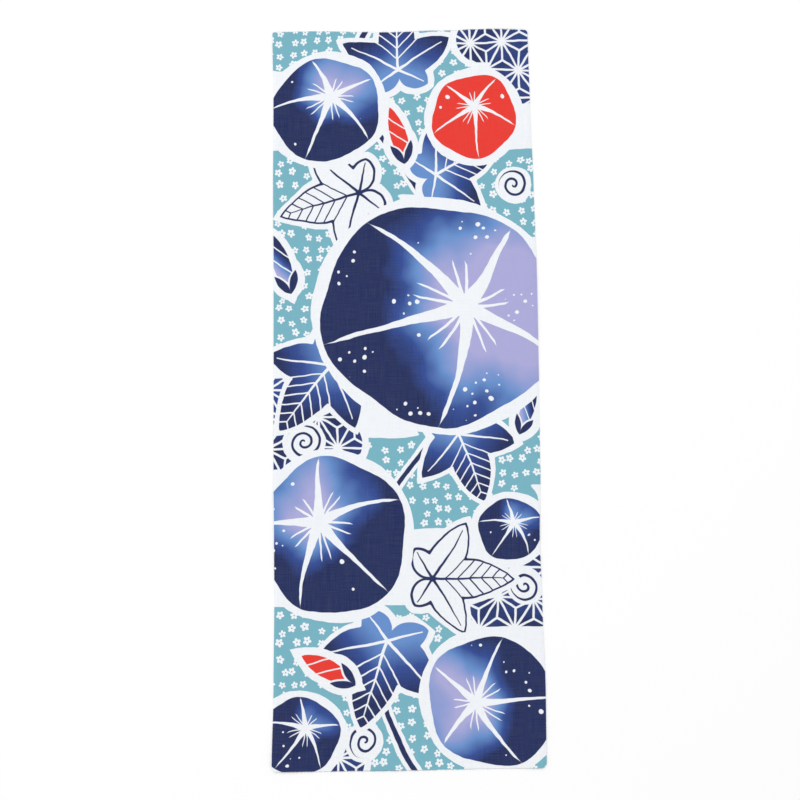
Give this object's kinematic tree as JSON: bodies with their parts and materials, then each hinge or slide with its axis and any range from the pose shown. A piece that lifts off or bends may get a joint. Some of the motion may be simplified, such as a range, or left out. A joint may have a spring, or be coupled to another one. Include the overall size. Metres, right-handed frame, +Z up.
{
  "type": "tenugui towel",
  "caption": "Long flat rectangular hand towel of thin plain-woven cotton, printed on one face, with straight selvedges and raw cut ends, for drying, wrapping or hanging up.",
  "frame": {"origin": "middle of the cloth's outline, on the surface that the cloth lies on", "axes": "+X to the cloth's right edge, +Y along its length to the head end of the print, +Z up through the printed face"},
  "size_m": [0.355, 0.9916, 0.0024],
  "materials": {
    "printed_cotton": "matt plain-woven cotton, dyed in navy, blue, lavender, teal and a little red on a white ground, paler on the back"
  },
  "bodies": {
    "root": {"towel_cloth": "printed_cotton"}
  },
  "joints": []
}
